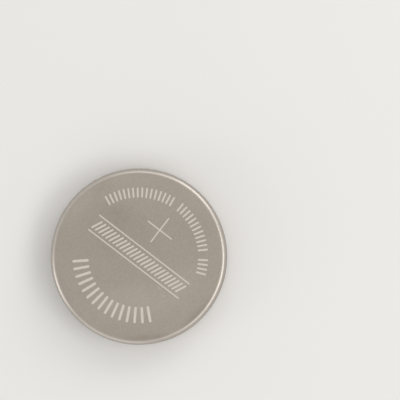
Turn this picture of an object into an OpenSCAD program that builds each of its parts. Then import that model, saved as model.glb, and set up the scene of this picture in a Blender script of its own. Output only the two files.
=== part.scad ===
/* [Cell] */
// Diameter over the can's side wall
cell_d = 24.5; // [20:0.1:30]
// Height from the cap's contact face to the can's marked face
cell_h = 5; // [4.2:0.1:7]
// Height by which the cap's contact face stands proud of the can's closed rim
cap_lift = 0.3; // [0.2:0.05:0.4]

/* [Positive can] */
// Thickness of the can's steel sheet
can_t = 0.25; // [0.2:0.01:0.3]
// Outer radius of the drawn corner round the marked face
can_corner_r = 0.8; // [0.45:0.05:0.9]
// Outer radius of the curl that closes the rim over the gasket
crimp_r = 1; // [0.85:0.05:1.1]
// Flat end of the rim, past the curl
crimp_lip = 0.2; // [0.05:0.05:0.3]

/* [Negative cap] */
// Thickness of the cap's steel sheet
cap_t = 0.25; // [0.2:0.01:0.3]
// Outer radius of the corner round the contact face
cap_corner_r = 0.55; // [0.4:0.05:0.7]
// Radius of the hollow where the step wall meets the shoulder
cap_root_r = 0.2; // [0.1:0.05:0.25]
// Outer radius where the shoulder turns into the skirt
shoulder_r = 0.4; // [0.32:0.02:0.5]

/* [Gasket] */
// Thickness of the outer leg, between the can's wall and the cap's skirt
gasket_t = 0.4; // [0.3:0.05:0.5]
// Thickness of the lip that the rim squeezes on the cap's shoulder
gasket_lip_t = 0.35; // [0.25:0.05:0.45]
// Width of the lip that shows past the end of the rim
gasket_lip_show = 0.25; // [0.1:0.05:0.35]
// Gap between the lip's end and the step wall of the cap
gasket_lip_gap = 0.1; // [0.08:0.01:0.2]
// Thickness of the foot, between the skirt's edge and the can's floor
gasket_foot_t = 0.4; // [0.3:0.05:0.6]
// Thickness of the inner leg, inside the skirt
gasket_leg_t = 0.3; // [0.2:0.05:0.4]
// Length of the inner leg along the skirt
gasket_leg_h = 1.4; // [0.8:0.1:1.8]
// Film of sealing pitch between the gasket and each steel piece
seal_film = 0.02; // [0.01:0.01:0.04]

/* [Cathode] */
// Room for electrolyte between the gasket's inner leg and the separator's rim
electrolyte_gap = 1; // [0.6:0.1:1.4]
// Bevel on the pellet's edge, on the separator's side
pellet_bevel = 0.2; // [0.1:0.05:0.4]
// Thickness of the steel ring that holds the pellet
ring_t = 0.2; // [0.15:0.01:0.25]
// Height of the ring, which stands on the can's floor
ring_h = 1.4; // [0.9:0.1:1.8]
// Width of the ring's flange, from its outside inwards
ring_flange_w = 1.2; // [0.8:0.1:1.8]
// Outer radius of the bend between the ring's wall and its flange
ring_bend_r = 0.35; // [0.3:0.05:0.5]

/* [Separator] */
// Thickness of the separator
separator_t = 0.2; // [0.15:0.01:0.3]
// Gap along the cell's axis between the separator's rim and the edge of the ring
separator_rim_gap = 0.5; // [0.3:0.05:0.8]
// Gap across the cell between the separator's rim and the wall of the ring
separator_gap = 0.05; // [0.03:0.01:0.1]
// Outer radius of the separator's bend
separator_bend_r = 0.4; // [0.35:0.05:0.5]

/* [Anode] */
// Thickness of the lithium disc
anode_t = 1.35; // [1:0.05:1.6]
// Distance from the lithium disc's edge in to the pellet's edge
anode_margin = 1; // [0.5:0.1:2]

/* [Hidden] */
$fn = 128;

// A cutter reaches this far past what it cuts
over = 0.5;

can_r = cell_d / 2;
mouth_r = can_r - crimp_r - crimp_lip;
floor_z = cell_h - can_t;

lip_in_r = mouth_r - gasket_lip_show;
step_r = lip_in_r - gasket_lip_gap;
shoulder_z = cap_lift + can_t + gasket_lip_t + 2 * seal_film;
skirt_r = can_r - can_t - gasket_t - 2 * seal_film;
skirt_top = floor_z - gasket_foot_t - 2 * seal_film;

leg_r = skirt_r - cap_t - seal_film;
leg_in_r = leg_r - gasket_leg_t;
leg_low = skirt_top - gasket_leg_h;
lip_mid_z = cap_lift + can_t + seal_film + gasket_lip_t / 2;

separator_r = leg_in_r - electrolyte_gap;
ring_r = separator_r - separator_t - separator_gap;
pellet_r = ring_r - ring_t;
flange_in_r = ring_r - ring_flange_w;
anode_r = pellet_r - anode_margin;
separator_z = cap_t + anode_t;
separator_top = floor_z - ring_h - separator_rim_gap;
pellet_z = separator_z + separator_t;

// What lies outside a round corner of radius r whose sharp corner is at the origin, with the
// material on the left: above it where side is 1, below it where side is -1
module corner_waste(r, side) {
    difference() {
        translate([-r, side > 0 ? -over : -r]) square(r + over);
        translate([-r, side * r]) circle(r);
    }
}

// Half section of a solid disc from z_low to z_high, with round outer corners
module disc_section(r, z_low, z_high, low_corner_r, high_corner_r) {
    difference() {
        translate([0, z_low]) square([r, z_high - z_low]);
        if (low_corner_r > 0) translate([r, z_low]) corner_waste(low_corner_r, 1);
        if (high_corner_r > 0) translate([r, z_high]) corner_waste(high_corner_r, -1);
    }
}

// Filled half section of the closed can, taken in by inset on every side
module can_outline(inset) {
    disc_section(
        can_r - inset,
        cap_lift + inset,
        cell_h - inset,
        crimp_r - inset,
        can_corner_r - inset
    );
}

// Filled half section of the stepped cap up to z_top, taken in by inset on every side
module cap_outline(inset, z_top) {
    root = cap_root_r + inset;
    disc_section(step_r - inset, inset, shoulder_z + over, cap_corner_r - inset, 0);
    disc_section(skirt_r - inset, shoulder_z + inset, z_top, shoulder_r - inset, 0);
    translate([step_r - inset, shoulder_z + inset]) difference() {
        translate([-over, -root]) square([over + root, root + over / 2]);
        translate([root, -root]) circle(root);
    }
}

// Drawn cup, marked face up, with its open rim curled in under the cap's shoulder
module positive_can() {
    color([0.72, 0.69, 0.64]) rotate_extrude() difference() {
        can_outline(0);
        can_outline(can_t);
        square([mouth_r, cap_lift + crimp_r]);
    }
}

// Stepped cup, contact face down, whose skirt stands in the gasket's channel
module negative_cap() {
    color([0.75, 0.73, 0.7]) rotate_extrude() difference() {
        cap_outline(0, skirt_top);
        cap_outline(cap_t, skirt_top + over);
    }
}

// Moulded ring that fills the space between can and cap: outer leg, foot under the skirt's
// edge, inner leg inside the skirt, and a lip that ends in a round bead past the rim
module gasket() {
    color([0.16, 0.15, 0.15]) rotate_extrude() {
        difference() {
            can_outline(can_t + seal_film);
            cap_outline(-seal_film, skirt_top + seal_film);
            translate([0, skirt_top]) square([leg_in_r, cell_h]);
            square([lip_in_r + gasket_lip_t / 2, shoulder_z]);
        }
        translate([leg_in_r, leg_low]) square([gasket_leg_t, floor_z - seal_film - leg_low]);
        translate([lip_in_r + gasket_lip_t / 2, lip_mid_z]) circle(gasket_lip_t / 2);
    }
}

// L-section ring on the can's floor, with its flange against the floor
module cathode_ring() {
    color([0.7, 0.69, 0.66]) rotate_extrude() difference() {
        disc_section(ring_r, floor_z - ring_h, floor_z, 0, ring_bend_r);
        disc_section(pellet_r, floor_z - ring_h - over, floor_z - ring_t, 0, ring_bend_r - ring_t);
        translate([0, floor_z - ring_h]) square([flange_in_r, ring_h + over]);
    }
}

// Tablet pressed into the ring, so that it fills the flange's opening up to the can's floor
module cathode_pellet() {
    color([0.12, 0.12, 0.12]) rotate_extrude() difference() {
        union() {
            disc_section(pellet_r, pellet_z, floor_z - ring_t, 0, ring_bend_r - ring_t);
            translate([0, pellet_z]) square([flange_in_r, floor_z - pellet_z]);
        }
        polygon([
            [pellet_r - pellet_bevel - over, pellet_z - over],
            [pellet_r + over, pellet_z - over],
            [pellet_r + over, pellet_z + pellet_bevel + over]
        ]);
    }
}

// Shallow cup of non-woven sheet between the lithium and the pellet
module separator() {
    color([0.95, 0.95, 0.93]) rotate_extrude() difference() {
        disc_section(separator_r, separator_z, separator_top, separator_bend_r, 0);
        disc_section(
            separator_r - separator_t,
            pellet_z,
            separator_top + over,
            separator_bend_r - separator_t,
            0
        );
    }
}

// Disc punched from lithium foil and pressed on the inside of the cap's face
module lithium_anode() {
    color([0.8, 0.81, 0.83]) translate([0, 0, cap_t]) cylinder(r = anode_r, h = anode_t);
}

positive_can();
negative_cap();
gasket();
cathode_ring();
cathode_pellet();
separator();
lithium_anode();
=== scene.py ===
# %% [markdown]
# # A lithium coin cell
# The cell is two pressed steel cups with a plastic ring squeezed between them. The upper cup, the can, is
# the positive side and closes the cell: its rim is rolled in under the lower cup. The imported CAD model
# brings every piece in its place, in metres, with the cell's axis on Z and the negative face at Z = 0.
# This script gives the pieces their finish, and turns the outer three again with smoother curves.

# %% Load the frame
import math

import bmesh
import bpy
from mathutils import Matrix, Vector


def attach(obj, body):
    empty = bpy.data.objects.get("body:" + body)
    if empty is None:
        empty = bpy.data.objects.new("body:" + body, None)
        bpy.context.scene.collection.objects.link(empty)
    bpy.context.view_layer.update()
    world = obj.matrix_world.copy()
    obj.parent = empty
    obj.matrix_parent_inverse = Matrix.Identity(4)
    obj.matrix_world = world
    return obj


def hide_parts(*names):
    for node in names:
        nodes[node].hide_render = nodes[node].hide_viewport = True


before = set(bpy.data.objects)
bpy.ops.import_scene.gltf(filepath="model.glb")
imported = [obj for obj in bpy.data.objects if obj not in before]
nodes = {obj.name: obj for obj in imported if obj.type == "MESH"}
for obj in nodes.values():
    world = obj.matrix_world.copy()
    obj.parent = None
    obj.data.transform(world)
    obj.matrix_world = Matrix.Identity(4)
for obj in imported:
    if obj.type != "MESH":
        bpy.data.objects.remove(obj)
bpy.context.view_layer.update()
print("pieces in the frame:", ", ".join(sorted(nodes)))

# %% [markdown]
# ## Two small helpers
# Every tree here, of shader nodes or geometry nodes, is built by the same few steps: make a node, set its
# properties, and fill its inputs with values or links. One function does that, so the cells below read as
# a list of what the tree does. An input is given by its name or, where a node has several inputs of one
# name, by its number. A value that is an output of another node becomes a link, and a list of outputs goes
# into an input that takes several.


# %% A node with its settings and links
def add(tree, kind, inputs=None, **settings):
    made = tree.nodes.new(kind)
    for name, value in settings.items():
        setattr(made, name, value)
    for key, value in (inputs or {}).items():
        for one in value if isinstance(value, list) else [value]:
            if isinstance(one, bpy.types.NodeSocket):
                tree.links.new(one, made.inputs[key])
            else:
                made.inputs[key].default_value = one
    return made


# %% [markdown]
# Colours are written as the sRGB hex values that a picture shows. Blender's sockets take linear light, so
# one function turns the one into the other.


# %% Colours
def colour(hex_value):
    parts = [int(hex_value[i:i + 2], 16) / 255 for i in (1, 3, 5)]
    linear = [p / 12.92 if p <= 0.04045 else ((p + 0.055) / 1.055) ** 2.4 for p in parts]
    return (*linear, 1.0)


print("satin steel in linear light:", [round(c, 3) for c in colour("#A69E94")[:3]])

# %% [markdown]
# ## Sizes
# The standard cell of this size is 24.5 mm across and 5 mm high. The numbers are the ones that the part's
# source is drawn with, in millimetres, so the turned pieces below keep the form of the CAD solids they
# stand for. What depends on another size is worked out from it.

# %% Sizes in millimetres
CELL_R = 12.25         # the can's wall, outside
CELL_H = 5.0           # from the negative face to the positive one
STEEL = 0.25           # the sheet of both cups
CAP_LIFT = 0.3         # the cap's face stands this far proud of the rim
CORNER_R = 0.8         # drawn corner round the positive face
CURL_R = 1.0           # curl of the rim
LIP = 0.2              # flat end of the rim, past the curl
CAP_CORNER_R = 0.55    # corner round the cap's face
ROOT_R = 0.2           # hollow where the cap's step meets its shoulder
SHOULDER_R = 0.4       # bend from the shoulder into the skirt
GASKET = 0.4           # outer leg, between the wall and the skirt
GASKET_LIP = 0.35      # lip, between the rim and the shoulder
LIP_SHOWS = 0.25       # width of the lip past the rim
LIP_GAP = 0.1          # from the lip to the cap's step
FOOT = 0.4             # foot, under the skirt's edge
LEG = 0.3              # inner leg, inside the skirt
LEG_H = 1.4            # its length along the skirt
LEG_EDGE_R = 0.05      # its rounded edges
FILM = 0.02            # sealing pitch on both sides of the gasket
BURR = 0.03            # rounding of a sharp edge
ETCH = 0.03            # depth of the etched marks
JOIN = 0.0005          # points closer than this become one

floor_z = CELL_H - STEEL
mouth_r = CELL_R - CURL_R - LIP
lip_r = mouth_r - LIP_SHOWS
step_r = lip_r - LIP_GAP
shoulder_z = CAP_LIFT + STEEL + GASKET_LIP + 2 * FILM
skirt_r = CELL_R - STEEL - GASKET - 2 * FILM
skirt_top = floor_z - FOOT - 2 * FILM
leg_r = skirt_r - STEEL - FILM
print("rim's mouth, cap's step and skirt, radius in mm:", mouth_r, round(step_r, 2), round(skirt_r, 2))

# %% [markdown]
# ## Where a finish starts
# Each finish is a material whose patterns read Object coordinates. These are metres on the piece itself, so
# a pattern stays in its place on the metal from any side, and its scale is one over a real size.


# %% A new finish
def per_mm(size):
    return 1000 / size


def new_finish(name):
    """An empty material, its tree, and the place on the piece."""
    material = bpy.data.materials.new(name)
    material.use_nodes = True
    tree = material.node_tree
    tree.nodes.clear()
    return material, tree, add(tree, "ShaderNodeTexCoord").outputs["Object"]


# %% [markdown]
# ## Marks of handling, and painted light and shade
# A cell that has been handled has a few marks of its own, such as a dark fleck or a short scuff. The positive
# face gets more in its colour: a wide darker place, painted reflection that makes it lighter in a band inside
# its lower edge and along its upper edge, and painted shade that darkens its lower edge. A noise can't put
# them where they are on this one. So each is a soft oval on the positive face, with its own place and size: a
# Mapping node of the Texture type moves the oval to a circle of radius 1, where the distance from the middle
# says how strong it is.


# %% A soft oval
def soft_oval(tree, place, x, y, length, width, turn):
    """1 in the middle and 0 outside; sizes in mm are from the middle to the edge, the turn is in degrees."""
    round_it = add(tree, "ShaderNodeMapping", {
        "Vector": place, "Location": (x / 1000, y / 1000, CELL_H / 1000),
        "Rotation": (0, 0, math.radians(turn)), "Scale": (length / 1000, width / 1000, 0.001),
    }, vector_type="TEXTURE").outputs[0]
    away = add(tree, "ShaderNodeVectorMath", {0: round_it}, operation="LENGTH").outputs["Value"]
    return add(tree, "ShaderNodeMapRange", {
        "Value": away, "To Min": 1.0, "To Max": 0.0,
    }, interpolation_type="SMOOTHERSTEP").outputs[0]


# %% [markdown]
# ## Steel from the rolling mill
# Both cups are pressed from thin stainless sheet with a satin finish. The mill leaves very fine straight
# lines in the sheet, all in one direction, and the metal's own grains make it finely mottled. Both stay on
# the flat faces. On the wall the deep drawing stretches the lines along the axis, and in the round corner
# the die rubs them almost away. So the colour is a warm grey that is mottled and a little cloudy, and the
# roughness drops where the die has burnished the metal.
#
# The two kinds of lines are two noises. One is stretched along the rolling direction. The other has to run
# up the wall and on over the round corners towards the axis, so it depends on the direction from the axis,
# and only slowly on the place.


# %% Lines in the sheet
ALONG = 0.05           # a pattern changes 20 times more slowly along its lines than across them


def mill_lines(tree, place, turn):
    """Straight lines up to 0.28 mm wide, coarser than the real ones so that they show."""
    turned = add(tree, "ShaderNodeVectorRotate", {
        "Vector": place, "Angle": math.radians(-turn),
    }, rotation_type="Z_AXIS").outputs[0]
    drawn_out = add(tree, "ShaderNodeMapping", {"Vector": turned, "Scale": (ALONG, 1, 1)}).outputs[0]
    return add(tree, "ShaderNodeTexNoise", {
        "Vector": drawn_out, "Scale": per_mm(0.28), "Detail": 4, "Roughness": 0.65,
    }).outputs[0]


def drawn_lines(tree, place):
    """Lines 0.2 mm apart that run up the wall."""
    level = add(tree, "ShaderNodeVectorMath", {0: place, 1: (1, 1, 0)}, operation="MULTIPLY").outputs[0]
    outward = add(tree, "ShaderNodeVectorMath", {0: level}, operation="NORMALIZE").outputs[0]
    on_wall = add(tree, "ShaderNodeVectorMath", {
        0: outward, "Scale": CELL_R / 1000,
    }, operation="SCALE").outputs[0]
    on_wall = add(tree, "ShaderNodeVectorMath", {
        0: place, 1: (ALONG, ALONG, ALONG), 2: on_wall,
    }, operation="MULTIPLY_ADD").outputs[0]
    return add(tree, "ShaderNodeTexNoise", {"Vector": on_wall, "Scale": per_mm(0.2), "Detail": 2}).outputs[0]


# %% [markdown]
# Three noises say how light the metal of a flat face is: clouds 6 mm across, a fine mottle and the mill
# lines. The marks of handling, and the painted reflection and painted shade, are added to that.


# %% The shade of a flat face
def face_shade(tree, place, lines, marks_and_painted_light):
    """0 for the dark tint and 1 for the light one."""
    clouds = add(tree, "ShaderNodeTexNoise", {"Vector": place, "Scale": per_mm(6), "Detail": 2}).outputs[0]
    # The metal's grains are a few hundredths of a millimetre wide. They are drawn 0.3 mm wide, so that they
    # show
    mottle = add(tree, "ShaderNodeTexNoise", {"Vector": place, "Scale": per_mm(0.3), "Detail": 3}).outputs[0]
    # The three shares add up to 1
    shade = 0.0
    for pattern, share in ((clouds, 0.3), (lines, 0.1), (mottle, 0.6)):
        shade = add(tree, "ShaderNodeMath", {
            0: pattern, 1: share, 2: shade,
        }, operation="MULTIPLY_ADD").outputs[0]
    # Marks of handling, and painted reflection and painted shade, each a soft oval that lightens or darkens
    # the metal
    for amount, *oval in marks_and_painted_light:
        shade = add(tree, "ShaderNodeMath", {
            0: soft_oval(tree, place, *oval), 1: amount, 2: shade,
        }, operation="MULTIPLY_ADD").outputs[0]
    return shade


# %% [markdown]
# The finish goes over from drawn to rolled between two heights, face_from and face_to, just before the flat
# face. The burnished metal of the wall and the corner is a little whiter than the face.


# %% Rolled and drawn stainless steel
def rolled_steel(name, light_tint, dark_tint, wall_tint, face_from, face_to, grain_turn,
                 face_rough, wall_rough, marks_and_painted_light=()):
    """Satin stainless sheet: mottled, with mill lines, on the flat face, and drawn lines on the wall."""
    material, tree, place = new_finish(name)
    height = add(tree, "ShaderNodeSeparateXYZ", {0: place}).outputs["Z"]
    flat = add(tree, "ShaderNodeMapRange", {
        "Value": height, "From Min": face_from / 1000, "From Max": face_to / 1000,
    }, interpolation_type="SMOOTHSTEP").outputs[0]
    lines = add(tree, "ShaderNodeMix", {
        0: flat, 2: drawn_lines(tree, place), 3: mill_lines(tree, place, grain_turn),
    }).outputs[0]
    satin = add(tree, "ShaderNodeMix", {
        0: face_shade(tree, place, lines, marks_and_painted_light), 6: colour(dark_tint), 7: colour(light_tint),
    }, data_type="RGBA").outputs[2]
    burnished = add(tree, "ShaderNodeMix", {
        0: lines, 6: colour(light_tint), 7: colour(wall_tint),
    }, data_type="RGBA").outputs[2]
    base = add(tree, "ShaderNodeMix", {0: flat, 6: burnished, 7: satin}, data_type="RGBA").outputs[2]
    # The lines vary the roughness a little to both sides
    swing = 0.1
    rough = add(tree, "ShaderNodeMapRange", {
        "Value": flat, "To Min": wall_rough - swing / 2, "To Max": face_rough - swing / 2,
    }).outputs[0]
    rough = add(tree, "ShaderNodeMath", {0: lines, 1: swing, 2: rough}, operation="MULTIPLY_ADD").outputs[0]
    # The lines are 0.004 mm deep
    relief = add(tree, "ShaderNodeBump", {"Height": lines, "Strength": 0.1, "Distance": 0.004 / 1000})
    steel = add(tree, "ShaderNodeBsdfPrincipled", {
        "Base Color": base, "Metallic": 1.0, "Roughness": rough, "Normal": relief.outputs[0],
    })
    add(tree, "ShaderNodeOutputMaterial", {"Surface": steel.outputs[0]})
    return material


# %% [markdown]
# Each row of the table of handling marks, painted reflection and painted shade starts with how much lighter
# the oval is than the metal round it, as a share of the step from the dark tint to the light one. A darker
# oval has a minus. The colour never goes past either tint.

# %% The two steel finishes
marks_and_painted_light = [
    # how much lighter, x, y, half length, half width, turn
    (-0.14, -2.0, 3.2, 9.0, 6.5, -25),     # a wide darker place, darker still in its middle
    (-0.12, -3.0, 6.0, 4.0, 2.5, -10),
    (0.24, -1.0, -6.2, 8.5, 4.2, 5),       # painted reflection: lighter inside the lower edge and along the upper edge
    (0.16, 6.4, -3.8, 6.0, 3.4, 50),
    (0.12, 0.0, 11.0, 9.0, 2.0, 0),
    (0.16, 8.2, 7.6, 5.0, 1.8, -45),
    (0.18, -8.4, 7.2, 6.0, 2.0, 50),
    (-0.35, 1.5, -11.4, 8.0, 1.2, 5),      # painted shade: the lower edge darker
    (-0.4, 8.2, -8.4, 7.0, 1.6, 45),
    (-0.75, -2.96, 6.05, 0.2, 0.17, 0),    # a dark fleck, and a smaller one beside it
    (-0.4, -3.45, 6.35, 0.15, 0.15, 0),
    (1.2, 2.85, -4.43, 0.55, 0.17, -55),   # two short scuffs
    (0.8, 3.48, -5.44, 0.4, 0.13, 8),
]
# The can's face carries the table: real marks of handling, and painted reflection and painted shade
can_steel = rolled_steel(
    "rolled_stainless_can", light_tint="#A69E94", dark_tint="#8D847A", wall_tint="#B5AFA8",
    face_from=4.94, face_to=CELL_H, grain_turn=52, face_rough=0.38, wall_rough=0.33, marks_and_painted_light=marks_and_painted_light)
cap_steel = rolled_steel(
    "rolled_stainless_cap", light_tint="#B2ABA3", dark_tint="#9B948C", wall_tint="#BFBAB4",
    face_from=0.1, face_to=0.0, grain_turn=15, face_rough=0.34, wall_rough=0.27)
print("steel finishes:", can_steel.name, cap_steel.name)

# %% [markdown]
# ## Etched marks
# The marks on the positive face are etched a few hundredths of a millimetre deep. The etched metal
# scatters light instead of mirroring it, so it looks paler than the satin face round it.


# %% Etched steel
def etched_steel(name):
    material, tree, place = new_finish(name)
    # Pits 0.06 mm apart and 0.005 mm deep
    pits = add(tree, "ShaderNodeTexNoise", {"Vector": place, "Scale": per_mm(0.06), "Detail": 2}).outputs[0]
    base = add(tree, "ShaderNodeMix", {
        0: pits, 6: colour("#B7AFA6"), 7: colour("#CCC4BA"),
    }, data_type="RGBA").outputs[2]
    relief = add(tree, "ShaderNodeBump", {"Height": pits, "Strength": 0.3, "Distance": 0.005 / 1000})
    steel = add(tree, "ShaderNodeBsdfPrincipled", {
        "Base Color": base, "Metallic": 1.0, "Roughness": 0.6, "Normal": relief.outputs[0],
    })
    add(tree, "ShaderNodeOutputMaterial", {"Surface": steel.outputs[0]})
    return material


mark_steel = etched_steel("etched_stainless")
print("mark finish:", mark_steel.name)

# %% [markdown]
# ## Moulded polypropylene
# The gasket is injection-moulded polypropylene. It is a slightly waxy plastic with a soft sheen, and the
# mould leaves a faint uneven skin on it.


# %% Plastic
def moulded_plastic(name, tint, deep_tint):
    material, tree, place = new_finish(name)
    # Flow marks 0.8 mm long, and a skin texture 0.1 mm wide and 0.01 mm deep
    flow = add(tree, "ShaderNodeTexNoise", {"Vector": place, "Scale": per_mm(0.8), "Detail": 2}).outputs[0]
    skin = add(tree, "ShaderNodeTexNoise", {"Vector": place, "Scale": per_mm(0.1), "Detail": 1}).outputs[0]
    base = add(tree, "ShaderNodeMix", {
        0: flow, 6: colour(deep_tint), 7: colour(tint),
    }, data_type="RGBA").outputs[2]
    rough = add(tree, "ShaderNodeMapRange", {"Value": flow, "To Min": 0.42, "To Max": 0.55}).outputs[0]
    relief = add(tree, "ShaderNodeBump", {"Height": skin, "Strength": 0.2, "Distance": 0.01 / 1000})
    plastic = add(tree, "ShaderNodeBsdfPrincipled", {
        "Base Color": base, "Roughness": rough, "IOR": 1.49, "Normal": relief.outputs[0],
    })
    add(tree, "ShaderNodeOutputMaterial", {"Surface": plastic.outputs[0]})
    return material


gasket_plastic = moulded_plastic("moulded_polypropylene", "#343131", "#262424")
print("gasket finish:", gasket_plastic.name)

# %% [markdown]
# ## A section turned about the axis
# The can, the cap and the gasket are all the same kind of shape: a section drawn on one side of the axis
# and turned through a full circle. Blender could do that with the Screw modifier, or with spin in edit
# mode, but both need a section that is drawn by hand. Here a geometry tree draws it from the corners, as a
# drawing office would: each corner is one named input that holds its distance from the axis, its height and
# the radius of its rounding. The sizes stay in millimetres inside the tree, and a step near its end brings
# them to metres.


# %% A geometry tree and its last steps
def new_tree(title, sockets):
    """A tree with these inputs, by name and kind, and what it is given in them."""
    tree = bpy.data.node_groups.new(title, "GeometryNodeTree")
    tree.is_modifier = True
    for name, kind in sockets.items():
        tree.interface.new_socket(name, in_out="INPUT", socket_type="NodeSocket" + kind)
    tree.interface.new_socket("Shape", in_out="OUTPUT", socket_type="NodeSocketGeometry")
    return tree, add(tree, "NodeGroupInput").outputs


def to_metres(tree, shape):
    """The shape in metres, as real geometry."""
    metres = add(tree, "GeometryNodeTransform", {"Geometry": shape, "Scale": (0.001, 0.001, 0.001)})
    return add(tree, "GeometryNodeRealizeInstances", {"Geometry": metres.outputs[0]}).outputs[0]


# %% [markdown]
# An Index Switch gives each point its corner, and the points become one line. Fillet Curve makes the
# roundings, with more steps where the radius is larger, and Curve to Mesh carries the section round a
# circle of radius 1. It puts the section's X outwards from that circle and its Y downwards, so the corners
# are turned to that first.


# %% The tree that turns a section
STEPS_PER_MM = 16.0    # steps of a rounding for each mm of its radius
FEWEST_STEPS = 3.0


def turned_section(title, corners, closed):
    sockets = {name: "Vector" for name in corners}
    tree, given = new_tree(title, {**sockets, "Steps round": "Int", "Finish": "Material"})
    pick = add(tree, "GeometryNodeIndexSwitch", data_type="VECTOR")
    for _ in range(len(corners) - 2):
        pick.index_switch_items.new()
    tree.links.new(add(tree, "GeometryNodeInputIndex").outputs[0], pick.inputs["Index"])
    for number, name in enumerate(corners):
        tree.links.new(given[name], pick.inputs[number + 1])
    corner = add(tree, "ShaderNodeSeparateXYZ", {0: pick.outputs[0]}).outputs
    outwards = add(tree, "ShaderNodeMath", {0: corner["X"], 1: 1.0}, operation="SUBTRACT").outputs[0]
    downwards = add(tree, "ShaderNodeMath", {0: corner["Y"], 1: -1.0}, operation="MULTIPLY").outputs[0]
    spot = add(tree, "ShaderNodeCombineXYZ", {"X": outwards, "Y": downwards}).outputs[0]
    dots = add(tree, "GeometryNodePoints", {"Count": len(corners), "Position": spot}).outputs[0]
    line = add(tree, "GeometryNodePointsToCurves", {"Points": dots}).outputs[0]
    line = add(tree, "GeometryNodeSetSplineCyclic", {"Geometry": line, "Cyclic": closed}).outputs[0]
    steps = add(tree, "ShaderNodeMath", {
        0: corner["Z"], 1: STEPS_PER_MM, 2: FEWEST_STEPS,
    }, operation="MULTIPLY_ADD").outputs[0]
    section = add(tree, "GeometryNodeFilletCurve", {
        "Curve": line, "Count": steps, "Radius": corner["Z"], "Limit Radius": False,
    }, mode="POLY").outputs[0]
    circle = add(tree, "GeometryNodeCurvePrimitiveCircle", {
        "Resolution": given["Steps round"], "Radius": 1.0,
    }).outputs[0]
    turned = add(tree, "GeometryNodeCurveToMesh", {"Curve": circle, "Profile Curve": section}).outputs[0]
    merged = add(tree, "GeometryNodeMergeByDistance", {"Geometry": turned, "Distance": JOIN}).outputs[0]
    painted = add(tree, "GeometryNodeSetMaterial", {
        "Geometry": to_metres(tree, merged), "Material": given["Finish"],
    }).outputs[0]
    add(tree, "NodeGroupOutput", {"Shape": painted})
    return tree


# %% [markdown]
# A tree does its work as a modifier. Its inputs are set by the sockets' identifiers before the object is
# first looked at, and the result is taken as a plain mesh, so nothing stays live.


# %% From tree to plain mesh
def grow(tree, values):
    holder = bpy.data.objects.new(tree.name, bpy.data.meshes.new(tree.name))
    bpy.context.scene.collection.objects.link(holder)
    modifier = holder.modifiers.new("tree", "NODES")
    modifier.node_group = tree
    for item in tree.interface.items_tree:
        if item.in_out == "INPUT":
            modifier[item.identifier] = values[item.name]
    grown = holder.evaluated_get(bpy.context.evaluated_depsgraph_get())
    mesh = bpy.data.meshes.new_from_object(grown)
    bpy.data.objects.remove(holder)
    return mesh


# %% [markdown]
# Meshes that belong to one piece are welded together, and their normals are worked out again, because a
# turned section can come out with its faces inwards. A bend of more than 35 degrees between two faces stays
# crisp. The piece is hung on the root body, and the CAD node that it stands for is hidden.


# %% From plain meshes to a piece
CRISP = math.radians(35)


def weld(name, meshes, node):
    """One closed piece from its meshes, in place of a CAD node."""
    finishes = []
    form = bmesh.new()
    for mesh in meshes:
        before = len(form.faces)
        form.from_mesh(mesh)
        form.faces.ensure_lookup_table()
        for face in form.faces[before:]:
            finish = mesh.materials[face.material_index]
            if finish not in finishes:
                finishes.append(finish)
            face.material_index = finishes.index(finish)
        bpy.data.meshes.remove(mesh)
    bmesh.ops.remove_doubles(form, verts=form.verts, dist=JOIN / 1000)
    bmesh.ops.recalc_face_normals(form, faces=form.faces)
    if form.calc_volume(signed=True) < 0:
        bmesh.ops.reverse_faces(form, faces=form.faces)
    open_edges = sum(not edge.is_manifold for edge in form.edges)
    print(name, "faces:", len(form.faces), "open edges:", open_edges,
          "mm3:", round(form.calc_volume() * 1e9, 1))
    whole = bpy.data.meshes.new(name)
    form.to_mesh(whole)
    form.free()
    for finish in finishes:
        whole.materials.append(finish)
    whole.shade_smooth()
    whole.set_sharp_from_angle(angle=CRISP)
    piece = bpy.data.objects.new(name, whole)
    bpy.context.scene.collection.objects.link(piece)
    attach(piece, "root")
    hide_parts(node)


# %% [markdown]
# ## What is etched on the positive face
# The positive face of a coin cell carries a plus sign beside its middle. Round its edge run rows of even
# bars, like the graduations of a dial, and a hatched strip between two thin lines lies across the middle. A
# row of bars is one outline that is repeated, so it is placed on points: three helpers draw the outline,
# spread a number evenly over the copies, and put the outline on each point with its turn.


# %% A bar and its copies
END_SHARE = 0.49       # a bar's end is round with just under half its width


def bar_outline(tree, length, width):
    """A bar with round ends, as a closed curve."""
    box = add(tree, "GeometryNodeCurvePrimitiveQuadrilateral", {"Width": length, "Height": width})
    end_r = add(tree, "ShaderNodeMath", {0: width, 1: END_SHARE}, operation="MULTIPLY").outputs[0]
    return add(tree, "GeometryNodeFilletCurve", {
        "Curve": box.outputs[0], "Count": 4, "Radius": end_r, "Limit Radius": False,
    }, mode="POLY").outputs[0]


def spread(tree, count, first, last):
    """A number that runs evenly from first to last over the copies."""
    number = add(tree, "GeometryNodeInputIndex").outputs[0]
    top = add(tree, "ShaderNodeMath", {0: count, 1: 1.0}, operation="SUBTRACT").outputs[0]
    return add(tree, "ShaderNodeMapRange", {
        "Value": number, "From Max": top, "To Min": first, "To Max": last,
    }).outputs[0]


def copies(tree, count, place, outline, turn):
    """The outline on each of the points, which ends the tree."""
    dots = add(tree, "GeometryNodePoints", {"Count": count, "Position": place}).outputs[0]
    lie = add(tree, "ShaderNodeCombineXYZ", {"Z": turn}).outputs[0]
    lie = add(tree, "FunctionNodeEulerToRotation", {0: lie}).outputs[0]
    row = add(tree, "GeometryNodeInstanceOnPoints", {"Points": dots, "Instance": outline, "Rotation": lie})
    real = add(tree, "GeometryNodeRealizeInstances", {"Geometry": row.outputs[0]}).outputs[0]
    add(tree, "NodeGroupOutput", {"Shape": real})


# %% [markdown]
# One tree spaces the points along an arc, with its angles counted from +X and each bar along its own
# radius.

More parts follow.
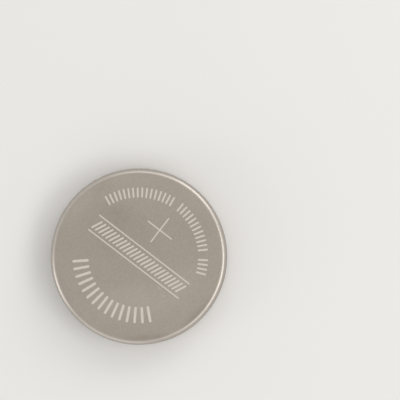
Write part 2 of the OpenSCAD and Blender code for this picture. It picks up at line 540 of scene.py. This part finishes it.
# %% Bars on an arc
arc_row, given = new_tree("bars on an arc", {
    "Radius": "Float", "First angle": "Float", "Last angle": "Float", "Count": "Int",
    "Length": "Float", "Width": "Float",
})
angle = spread(arc_row, given["Count"], given["First angle"], given["Last angle"])
start = add(arc_row, "ShaderNodeCombineXYZ", {"X": given["Radius"]}).outputs[0]
on_arc = add(arc_row, "ShaderNodeVectorRotate", {
    "Vector": start, "Angle": angle,
}, rotation_type="Z_AXIS").outputs[0]
copies(arc_row, given["Count"], on_arc, bar_outline(arc_row, given["Length"], given["Width"]), angle)
print(arc_row.name, "has", len(arc_row.nodes), "nodes")

# %% [markdown]
# The other spaces them along a line through the middle of the face, to both sides of it, and all its bars
# lie the same way.

# %% Bars on a line
line_row, given = new_tree("bars on a line", {
    "Turn of row": "Float", "Half span": "Float", "Count": "Int",
    "Length": "Float", "Width": "Float", "Turn of bar": "Float",
})
far = add(line_row, "ShaderNodeMath", {0: given["Half span"], 1: -1.0}, operation="MULTIPLY").outputs[0]
along = spread(line_row, given["Count"], far, given["Half span"])
start = add(line_row, "ShaderNodeCombineXYZ", {"X": along}).outputs[0]
on_line = add(line_row, "ShaderNodeVectorRotate", {
    "Vector": start, "Angle": given["Turn of row"],
}, rotation_type="Z_AXIS").outputs[0]
bar = bar_outline(line_row, given["Length"], given["Width"])
copies(line_row, given["Count"], on_line, bar, given["Turn of bar"])
print(line_row.name, "has", len(line_row.nodes), "nodes")

# %% [markdown]
# The plus sign can't be two crossed bars, because the next tree fills closed outlines and two outlines that
# cross would cut a hole in each other. It is one outline of twelve corners instead: the same three corners,
# at the end of an arm and in its elbow, turned four times by a quarter.

# %% The plus sign
ARM_CORNERS, ARMS = 3, 4
plus_sign, given = new_tree("plus sign", {
    "Place": "Vector", "Turn": "Float", "Arm": "Float", "Half width": "Float",
})
number = add(plus_sign, "GeometryNodeInputIndex").outputs[0]
which = add(plus_sign, "ShaderNodeMath", {0: number, 1: ARM_CORNERS}, operation="MODULO").outputs[0]
quarter = add(plus_sign, "ShaderNodeMath", {0: number, 1: ARM_CORNERS}, operation="DIVIDE").outputs[0]
quarter = add(plus_sign, "ShaderNodeMath", {0: quarter}, operation="FLOOR").outputs[0]
turn = add(plus_sign, "ShaderNodeMath", {
    0: quarter, 1: math.pi / 2, 2: given["Turn"],
}, operation="MULTIPLY_ADD").outputs[0]
end, elbow = given["Arm"], given["Half width"]
three = [add(plus_sign, "ShaderNodeCombineXYZ", {"X": x, "Y": y}).outputs[0]
         for x, y in ((end, elbow), (elbow, elbow), (elbow, end))]
pick = add(plus_sign, "GeometryNodeIndexSwitch", data_type="VECTOR")
pick.index_switch_items.new()
for key, value in enumerate((which, *three)):
    plus_sign.links.new(value, pick.inputs[key])
corner = add(plus_sign, "ShaderNodeVectorRotate", {
    "Vector": pick.outputs[0], "Angle": turn,
}, rotation_type="Z_AXIS").outputs[0]
corner = add(plus_sign, "ShaderNodeVectorMath", {0: corner, 1: given["Place"]}).outputs[0]
dots = add(plus_sign, "GeometryNodePoints", {"Count": ARM_CORNERS * ARMS, "Position": corner}).outputs[0]
line = add(plus_sign, "GeometryNodePointsToCurves", {"Points": dots}).outputs[0]
line = add(plus_sign, "GeometryNodeSetSplineCyclic", {"Geometry": line, "Cyclic": True}).outputs[0]
add(plus_sign, "NodeGroupOutput", {"Shape": line})
print(plus_sign.name, "has", len(plus_sign.nodes), "nodes and", ARM_CORNERS * ARMS, "corners")

# %% [markdown]
# ## The etched face
# The marks are real recesses and not a picture, so they catch the light at their edges from any side. They
# and the flat face are made by one tree, which has the size of the face and the depth of the marks as its
# inputs. It takes the outlines from the trees above. The rows round the edge come first, one for each line
# of the table.

# %% Rows round the edge
etched_face, face_given = new_tree("etched face", {
    "Face radius": "Float", "Height": "Float", "Depth": "Float", "Steps round": "Int",
    "Finish": "Material", "Mark finish": "Material",
})
arc_rows = [
    # radius, first and last angle in degrees, count, length, width
    (8.9, -15, -3, 4, 1.45, 0.26),
    (8.9, 6, 50, 12, 1.45, 0.26),
    (8.9, 59, 119, 16, 1.45, 0.26),
    (8.1, 184, 280, 15, 2.3, 0.38),
]
outlines = [add(etched_face, "GeometryNodeGroup", {
    "Radius": radius, "First angle": math.radians(first), "Last angle": math.radians(last),
    "Count": count, "Length": length, "Width": width,
}, node_tree=arc_row).outputs[0] for radius, first, last, count, length, width in arc_rows]
print("bars round the edge:", sum(count for _, _, _, count, _, _ in arc_rows))

# %% [markdown]
# The strip is a row of slanting bars, and its two thin lines are a row of two long bars across it. The plus
# sign has the strip's turn, so that one of its arms lies along it.

# %% The strip and the plus sign
strip_turn = math.radians(-37.5)
line_rows = [
    # half span, count, length, width, turn of row, turn of bar
    (7.3, 25, 1.8, 0.27, strip_turn, strip_turn + math.radians(65)),
    (1.25, 2, 15.8, 0.2, strip_turn + math.pi / 2, strip_turn),
]
outlines += [add(etched_face, "GeometryNodeGroup", {
    "Turn of row": row_turn, "Half span": half_span, "Count": count,
    "Length": length, "Width": width, "Turn of bar": bar_turn,
}, node_tree=line_row).outputs[0] for half_span, count, length, width, row_turn, bar_turn in line_rows]
outlines.append(add(etched_face, "GeometryNodeGroup", {
    "Place": (2.9, 3.68, 0), "Turn": strip_turn, "Arm": 2.1, "Half width": 0.1,
}, node_tree=plus_sign).outputs[0])
print("groups of outlines on the face:", len(outlines))

# %% [markdown]
# All the outlines and the face's own circle go into one Fill Curve, which leaves a hole where an outline
# lies. The same outlines are filled once more, lower down, as the floors of the recesses. An edge that has
# only one face beside it is the edge of a floor, and these edges are extruded up to the face as the walls.

# %% The face with its recesses
marks = add(etched_face, "GeometryNodeJoinGeometry", {0: outlines}).outputs[0]
rim = add(etched_face, "GeometryNodeCurvePrimitiveCircle", {
    "Resolution": face_given["Steps round"], "Radius": face_given["Face radius"],
}).outputs[0]
sheet = add(etched_face, "GeometryNodeJoinGeometry", {0: [marks, rim]}).outputs[0]
face = add(etched_face, "GeometryNodeFillCurve", {"Curve": sheet}).outputs[0]
floors = add(etched_face, "GeometryNodeFillCurve", {"Curve": marks}).outputs[0]
down = add(etched_face, "ShaderNodeMath", {
    0: face_given["Depth"], 1: -1.0,
}, operation="MULTIPLY").outputs[0]
down = add(etched_face, "ShaderNodeCombineXYZ", {"Z": down}).outputs[0]
floors = add(etched_face, "GeometryNodeTransform", {"Geometry": floors, "Translation": down}).outputs[0]
beside = add(etched_face, "GeometryNodeInputMeshEdgeNeighbors").outputs[0]
edge = add(etched_face, "FunctionNodeCompare", {2: beside, 3: 1}, data_type="INT", operation="EQUAL")
up = add(etched_face, "ShaderNodeCombineXYZ", {"Z": face_given["Depth"]}).outputs[0]
recesses = add(etched_face, "GeometryNodeExtrudeMesh", {
    "Mesh": floors, "Selection": edge.outputs[0], "Offset": up,
}, mode="EDGES").outputs[0]
whole = add(etched_face, "GeometryNodeJoinGeometry", {0: [face, recesses]}).outputs[0]
print("nodes that make the face and its recesses:", len(etched_face.nodes))

# %% [markdown]
# The face is lifted to the top of the cell. Floors and walls lie lower than it, and that is how the last
# node finds the faces that get the etched finish: their middles are more than a quarter of the depth down.

# %% Its place and its two finishes
high = add(etched_face, "ShaderNodeCombineXYZ", {"Z": face_given["Height"]}).outputs[0]
placed = add(etched_face, "GeometryNodeTransform", {"Geometry": whole, "Translation": high}).outputs[0]
placed = add(etched_face, "GeometryNodeMergeByDistance", {"Geometry": placed, "Distance": JOIN}).outputs[0]
level = add(etched_face, "ShaderNodeMath", {
    0: face_given["Depth"], 1: -0.25, 2: face_given["Height"],
}, operation="MULTIPLY_ADD").outputs[0]
place = add(etched_face, "GeometryNodeInputPosition").outputs[0]
place = add(etched_face, "ShaderNodeVectorMath", {0: place, "Scale": 1000.0}, operation="SCALE").outputs[0]
place_z = add(etched_face, "ShaderNodeSeparateXYZ", {0: place}).outputs["Z"]
low = add(etched_face, "FunctionNodeCompare", {0: place_z, 1: level}, operation="LESS_THAN").outputs[0]
painted = add(etched_face, "GeometryNodeSetMaterial", {
    "Geometry": to_metres(etched_face, placed), "Material": face_given["Finish"],
}).outputs[0]
painted = add(etched_face, "GeometryNodeSetMaterial", {
    "Geometry": painted, "Selection": low, "Material": face_given["Mark finish"],
}).outputs[0]
add(etched_face, "NodeGroupOutput", {"Shape": painted})
print("nodes in the whole tree:", len(etched_face.nodes))

# %% [markdown]
# ## The positive can
# The can is deep-drawn: a disc of sheet is pushed through a die, which rounds the corner of the face and
# draws up the wall. When the cell is closed, the free end of the wall is curled in under the cap. The
# section runs from the edge of the etched face, down the outside, round the curl, and back up the inside.
# The etched face ends a little way inside the edge of the flat, which keeps the shading of the flat even.

# %% Turn the can
STEPS = 256            # steps round the axis
FLAT_EDGE = 0.05       # from the last corner on a flat to the start of its rounding
face_r = CELL_R - CORNER_R - FLAT_EDGE
can_corners = {
    "Edge of the etched face": (face_r, CELL_H, 0),
    "Drawn corner": (CELL_R, CELL_H, CORNER_R),
    "Curl": (CELL_R, CAP_LIFT, CURL_R),
    "End of the lip, below": (mouth_r, CAP_LIFT, BURR),
    "End of the lip, above": (mouth_r, CAP_LIFT + STEEL, BURR),
    "Curl, inside": (CELL_R - STEEL, CAP_LIFT + STEEL, CURL_R - STEEL),
    "Drawn corner, inside": (CELL_R - STEEL, floor_z, CORNER_R - STEEL),
    "Middle, inside": (0, floor_z, 0),
}
can_tree = turned_section("turned can", list(can_corners), closed=False)
shell = grow(can_tree, {**can_corners, "Steps round": STEPS, "Finish": can_steel})
face = grow(etched_face, {
    "Face radius": face_r, "Height": CELL_H, "Depth": ETCH, "Steps round": STEPS,
    "Finish": can_steel, "Mark finish": mark_steel,
})
weld("crimped_can", [shell, face], "positive_can")

# %% [markdown]
# ## The negative cap
# The cap is a stepped cup. Its flat face is the negative contact and stands a little proud of the curled
# rim. Past the step lies the shoulder, which the gasket's lip rests on, and the skirt goes up inside the
# can. Here too a corner without rounding just inside the edge of the flat face keeps its shading even.

# %% Turn the cap
cap_corners = {
    "Middle": (0, 0, 0),
    "Edge of the flat": (step_r - CAP_CORNER_R - FLAT_EDGE, 0, 0),
    "Face corner": (step_r, 0, CAP_CORNER_R),
    "Root of the step": (step_r, shoulder_z, ROOT_R),
    "Shoulder": (skirt_r, shoulder_z, SHOULDER_R),
    "End of the skirt, outside": (skirt_r, skirt_top, BURR),
    "End of the skirt, inside": (skirt_r - STEEL, skirt_top, BURR),
    "Shoulder, inside": (skirt_r - STEEL, shoulder_z + STEEL, SHOULDER_R - STEEL),
    "Root of the step, inside": (step_r - STEEL, shoulder_z + STEEL, ROOT_R + STEEL),
    "Face corner, inside": (step_r - STEEL, STEEL, CAP_CORNER_R - STEEL),
    "Middle, inside": (0, STEEL, 0),
}
cap_tree = turned_section("turned cap", list(cap_corners), closed=False)
cap = grow(cap_tree, {**cap_corners, "Steps round": STEPS, "Finish": cap_steel})
weld("stepped_cap", [cap], "negative_cap")

# %% [markdown]
# ## The gasket
# The gasket is moulded as a ring with a channel that the cap's skirt stands in, and the curling of the rim
# presses it round the shoulder. Only the bead at the end of its lip shows, as a dark ring beside the cap.
# Its section is a closed outline that doesn't touch the axis.

# %% Turn the gasket
wall_r = CELL_R - STEEL - FILM
lip_z = CAP_LIFT + STEEL + FILM
gasket_corners = {
    "Inner leg, end": (leg_r - LEG, skirt_top - LEG_H, LEG_EDGE_R),
    "Inner leg, top": (leg_r - LEG, floor_z - FILM, LEG_EDGE_R),
    "Outer corner": (wall_r, floor_z - FILM, CORNER_R - STEEL - FILM),
    "Curl": (wall_r, lip_z, CURL_R - STEEL - FILM),
    "Lip, below": (lip_r, lip_z, GASKET_LIP / 2),
    "Lip, above": (lip_r, lip_z + GASKET_LIP, GASKET_LIP / 2),
    "Shoulder": (skirt_r + FILM, shoulder_z - FILM, SHOULDER_R + FILM),
    "Channel, outside": (skirt_r + FILM, skirt_top + FILM, BURR),
    "Channel, inside": (leg_r, skirt_top + FILM, BURR),
    "Inner leg, beside the skirt": (leg_r, skirt_top - LEG_H, LEG_EDGE_R),
}
gasket_tree = turned_section("turned gasket", list(gasket_corners), closed=True)
ring = grow(gasket_tree, {**gasket_corners, "Steps round": STEPS, "Finish": gasket_plastic})
weld("gasket_ring", [ring], "gasket")

# %% [markdown]
# ## What is sealed inside
# Four pieces stay as the CAD model has them, because their shape is right and nothing of them shows in a
# closed cell. Each still gets its own finish, for whoever takes the cell apart. A black tablet of manganese
# dioxide and graphite is pressed into a steel ring. A white non-woven separator lies against it. The disc of
# lithium foil is pressed on the inside of the cap.


# %% Finishes of the inner pieces
def plain_finish(name, tints, grain, stretch, rough, metallic, depth):
    """A matte finish: two close tints in a noise, with grain and depth in mm, stretched along X or Y."""
    material, tree, place = new_finish(name)
    drawn = add(tree, "ShaderNodeMapping", {"Vector": place, "Scale": stretch}).outputs[0]
    speckle = add(tree, "ShaderNodeTexNoise", {
        "Vector": drawn, "Scale": per_mm(grain), "Detail": 4, "Roughness": 0.65,
    }).outputs[0]
    base = add(tree, "ShaderNodeMix", {
        0: speckle, 6: colour(tints[0]), 7: colour(tints[1]),
    }, data_type="RGBA").outputs[2]
    relief = add(tree, "ShaderNodeBump", {"Height": speckle, "Strength": 0.5, "Distance": depth / 1000})
    surface = add(tree, "ShaderNodeBsdfPrincipled", {
        "Base Color": base, "Metallic": metallic, "Roughness": rough, "Normal": relief.outputs[0],
    })
    add(tree, "ShaderNodeOutputMaterial", {"Surface": surface.outputs[0]})
    return material


inner = {
    # Pressed oxide and graphite powder, in grains of 0.08 mm
    "cathode_pellet": plain_finish(
        "pressed_manganese_dioxide", tints=("#171616", "#2E2C2B"), grain=0.08, stretch=(1, 1, 1),
        rough=0.85, metallic=0.0, depth=0.01),
    # Non-woven polypropylene fibres, drawn 0.1 mm wide and mostly one way
    "separator": plain_finish(
        "nonwoven_polypropylene", tints=("#E2E2DC", "#F6F6F2"), grain=0.1, stretch=(0.12, 1, 1),
        rough=0.8, metallic=0.0, depth=0.02),
    # Rolled lithium foil, dull silver, with roll lines 0.3 mm wide
    "lithium_anode": plain_finish(
        "rolled_lithium_foil", tints=("#9EA0A4", "#BDBFC2"), grain=0.3, stretch=(ALONG, 1, 1),
        rough=0.5, metallic=1.0, depth=0.004),
    # Bare stainless strip, bent to an L
    "cathode_ring": rolled_steel(
        "bent_stainless_strip", light_tint="#B2ABA3", dark_tint="#9A9289", wall_tint="#BAB4AD",
        face_from=4.4, face_to=4.7, grain_turn=70, face_rough=0.36, wall_rough=0.3),
}
for name, finish in inner.items():
    nodes[name].data.materials.clear()
    nodes[name].data.materials.append(finish)
    print(name, "is finished in", finish.name)

# %% [markdown]
# ## The studio
# The cell lies on a plain pale floor with its negative face down. A hair's breadth is left under it, so
# that the floor and the negative face don't lie in one plane.

# %% Floor
FLOOR_SPAN, FLOOR_Z = 3.0, -0.00001
floor = bpy.data.objects.new("floor", bpy.data.meshes.new("floor"))
floor.data.from_pydata([
    (-FLOOR_SPAN, -FLOOR_SPAN, FLOOR_Z), (FLOOR_SPAN, -FLOOR_SPAN, FLOOR_Z),
    (FLOOR_SPAN, FLOOR_SPAN, FLOOR_Z), (-FLOOR_SPAN, FLOOR_SPAN, FLOOR_Z),
], [], [(0, 1, 2, 3)])
bpy.context.scene.collection.objects.link(floor)
# White board with a matt surface
paint = bpy.data.materials.new("matt_white_board")
paint.use_nodes = True
board = paint.node_tree.nodes["Principled BSDF"]
board.inputs["Base Color"].default_value = colour("#EDEBE8")
board.inputs["Roughness"].default_value = 0.9
floor.data.materials.append(paint)
print("floor at", FLOOR_Z * 1000, "mm")


# %% [markdown]
# Six soft boxes stand in a ring half a metre away. The flat face shows none of them to a camera straight
# above, but the round corner of the can mirrors each as a stretch of bright line, further out on the corner
# where the box stands lower.


# %% Soft boxes
BOX_DISTANCE = 0.5


def soft_box(name, azimuth, tilt, width, height, times_white):
    """A lamp that faces the cell, with its tilt from straight overhead and both angles in degrees. Its face
    is as bright as a white sheet in the room light, times times_white."""
    lamp = bpy.data.lights.new(name, "AREA")
    lamp.shape = "RECTANGLE"
    lamp.size, lamp.size_y = width, height
    lamp.energy = times_white * math.pi * width * height
    stand = bpy.data.objects.new(name, lamp)
    a, t = math.radians(azimuth), math.radians(tilt)
    towards = Vector((math.sin(t) * math.cos(a), math.sin(t) * math.sin(a), math.cos(t)))
    stand.location = towards * BOX_DISTANCE
    stand.rotation_euler = towards.to_track_quat("Z", "Y").to_euler()
    bpy.context.scene.collection.objects.link(stand)
    print(name, "gives", round(lamp.energy, 2), "W")


for name, azimuth, tilt, width, height, times_white in (
    # name, azimuth, tilt, width and height in metres, times white
    ("right_box", -3, 38, 0.28, 0.20, 1.8),
    ("upper_right_box", 49, 56, 0.27, 0.24, 2.1),
    ("upper_box", 90, 42, 0.18, 0.20, 1.05),
    ("left_box", 200, 72, 0.22, 0.26, 1.6),
    ("front_box", 252, 76, 0.40, 0.26, 0.5),
    ("front_right_box", 324, 38, 0.34, 0.20, 1.3),
):
    soft_box(name, azimuth, tilt, width, height, times_white)

# %% [markdown]
# The even light of the room comes from the world. It shows as white to the camera and in reflections, but
# lights what is matt at about three fifths of that. The soft boxes give the rest, so the floor comes out
# about as bright as its colour is written.

# %% Room light
ROOM_SEEN, ROOM_LIGHT = 1.0, 0.62
world = bpy.data.worlds.new("room")
bpy.context.scene.world = world
world.use_nodes = True
room = world.node_tree
room.nodes.clear()
rays = add(room, "ShaderNodeLightPath").outputs
seen = add(room, "ShaderNodeMath", {
    0: rays["Is Camera Ray"], 1: rays["Is Glossy Ray"],
}, operation="MAXIMUM").outputs[0]
seen = add(room, "ShaderNodeMath", {0: seen, 1: rays["Is Transmission Ray"]}, operation="MAXIMUM").outputs[0]
strength = add(room, "ShaderNodeMapRange", {
    "Value": seen, "To Min": ROOM_LIGHT, "To Max": ROOM_SEEN,
}).outputs[0]
white = add(room, "ShaderNodeBackground", {"Color": (1, 1, 1, 1), "Strength": strength}).outputs[0]
add(room, "ShaderNodeOutputWorld", {"Surface": white})
print("room light nodes:", len(room.nodes))

# %% [markdown]
# The camera looks straight down, because the picture shows the positive face square on. The cell's middle
# lies left of and below the middle of the picture, so the camera stands to the upper right of it. The lens
# follows from the width of the picture at the height of the face.

# %% Camera
IMAGE_PX = 400
PX_PER_MM = 7.22
CELL_PX_X, CELL_PX_Y = 138.9, 256.7
CAMERA_ABOVE = 0.4
SENSOR_MM = 36
picture_width = IMAGE_PX / PX_PER_MM / 1000
camera = bpy.data.objects.new("camera", bpy.data.cameras.new("camera"))
camera.location = (
    picture_width / 2 - CELL_PX_X / PX_PER_MM / 1000,
    CELL_PX_Y / PX_PER_MM / 1000 - picture_width / 2,
    CELL_H / 1000 + CAMERA_ABOVE,
)
camera.data.sensor_width = SENSOR_MM
camera.data.lens = SENSOR_MM * CAMERA_ABOVE / picture_width
camera.data.clip_start = 0.01
camera.data.clip_end = 10
bpy.context.scene.collection.objects.link(camera)
bpy.context.scene.camera = camera
bpy.context.scene.view_settings.view_transform = "Standard"
print("lens in mm:", round(camera.data.lens, 1), "picture width in mm:", round(picture_width * 1000, 1))
